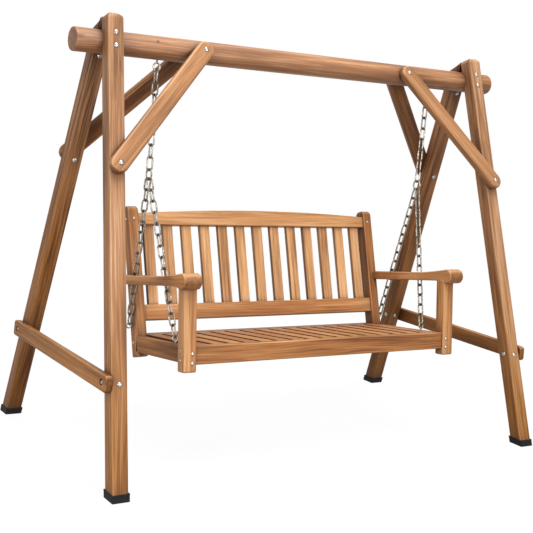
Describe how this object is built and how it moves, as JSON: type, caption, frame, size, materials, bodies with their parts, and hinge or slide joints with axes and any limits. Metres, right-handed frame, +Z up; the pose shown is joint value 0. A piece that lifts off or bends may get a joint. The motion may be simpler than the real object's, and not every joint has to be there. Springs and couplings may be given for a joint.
{
  "type": "swing bench",
  "caption": "Timber porch swing bench with slatted seat and back, hung on chains from a round beam between braced A-shaped end frames on rubber feet.",
  "frame": {"origin": "on the floor under the middle of the beam", "axes": "+X along the beam, +Y from the seat's front to its back, +Z up"},
  "size_m": [2.095, 1.1664, 1.7046],
  "materials": {
    "beam_log": "oiled satin, lengthwise grain",
    "leg_timber": "oiled satin, lengthwise grain",
    "brace_timber": "oiled satin, lengthwise grain",
    "bench_timber": "oiled satin, lengthwise grain",
    "back_slat_timber": "oiled satin, lengthwise grain",
    "seat_timber": "oiled satin, lengthwise grain",
    "chain_steel": "bright zinc plated",
    "bolt_steel": "satin zinc plated",
    "foot_rubber": "matt black"
  },
  "bodies": {
    "stand": {"beam": "beam_log", "beam_eye_left": "chain_steel", "beam_eye_right": "chain_steel", "brace_bolts": "bolt_steel", "front_brace_left": "brace_timber", "front_brace_right": "brace_timber", "front_foot_cap_left": "foot_rubber", "front_foot_cap_right": "foot_rubber", "front_leg_left": "leg_timber", "front_leg_right": "leg_timber", "leg_bolts": "bolt_steel", "rear_brace_left": "brace_timber", "rear_brace_right": "brace_timber", "rear_foot_cap_left": "foot_rubber", "rear_foot_cap_right": "foot_rubber", "rear_leg_left": "leg_timber", "rear_leg_right": "leg_timber", "stretcher_bolts": "bolt_steel", "stretcher_left": "brace_timber", "stretcher_right": "brace_timber"},
    "hangers": {"junction_ring_left": "chain_steel", "junction_ring_right": "chain_steel", "upper_chain_left": "chain_steel", "upper_chain_right": "chain_steel"},
    "bench": {"arm_left": "bench_timber", "arm_right": "bench_timber", "back_low_rail": "bench_timber", "back_slat_01": "back_slat_timber", "back_slat_02": "back_slat_timber", "back_slat_03": "back_slat_timber", "back_slat_04": "back_slat_timber", "back_slat_05": "back_slat_timber", "back_slat_06": "back_slat_timber", "back_slat_07": "back_slat_timber", "back_slat_08": "back_slat_timber", "back_slat_09": "back_slat_timber", "back_slat_10": "back_slat_timber", "back_slat_11": "back_slat_timber", "back_slat_12": "back_slat_timber", "back_slat_13": "back_slat_timber", "back_top_rail": "bench_timber", "bench_bolts": "bolt_steel", "front_bench_eyes": "chain_steel", "front_lower_chain_left": "chain_steel", "front_lower_chain_right": "chain_steel", "front_post_left": "bench_timber", "front_post_right": "bench_timber", "front_rail": "bench_timber", "rear_bench_eyes": "chain_steel", "rear_lower_chain_left": "chain_steel", "rear_lower_chain_right": "chain_steel", "rear_post_left": "bench_timber", "rear_post_right": "bench_timber", "rear_rail": "bench_timber", "seat_battens": "seat_timber", "seat_slat_screws": "bolt_steel", "seat_slats": "seat_timber", "side_rail_left": "bench_timber", "side_rail_right": "bench_timber"}
  },
  "joints": [
    {"name": "hanger_swing", "type": "hinge", "parent": "stand", "child": "hangers", "pos_m": [0, 0, 1.5095], "axis": [1, 0, 0], "range_deg": [-20, 20]},
    {"name": "bench_swing", "type": "hinge", "parent": "hangers", "child": "bench", "pos_m": [0, 0, 1.105], "axis": [1, 0, 0], "range_deg": [-10, 10]}
  ]
}
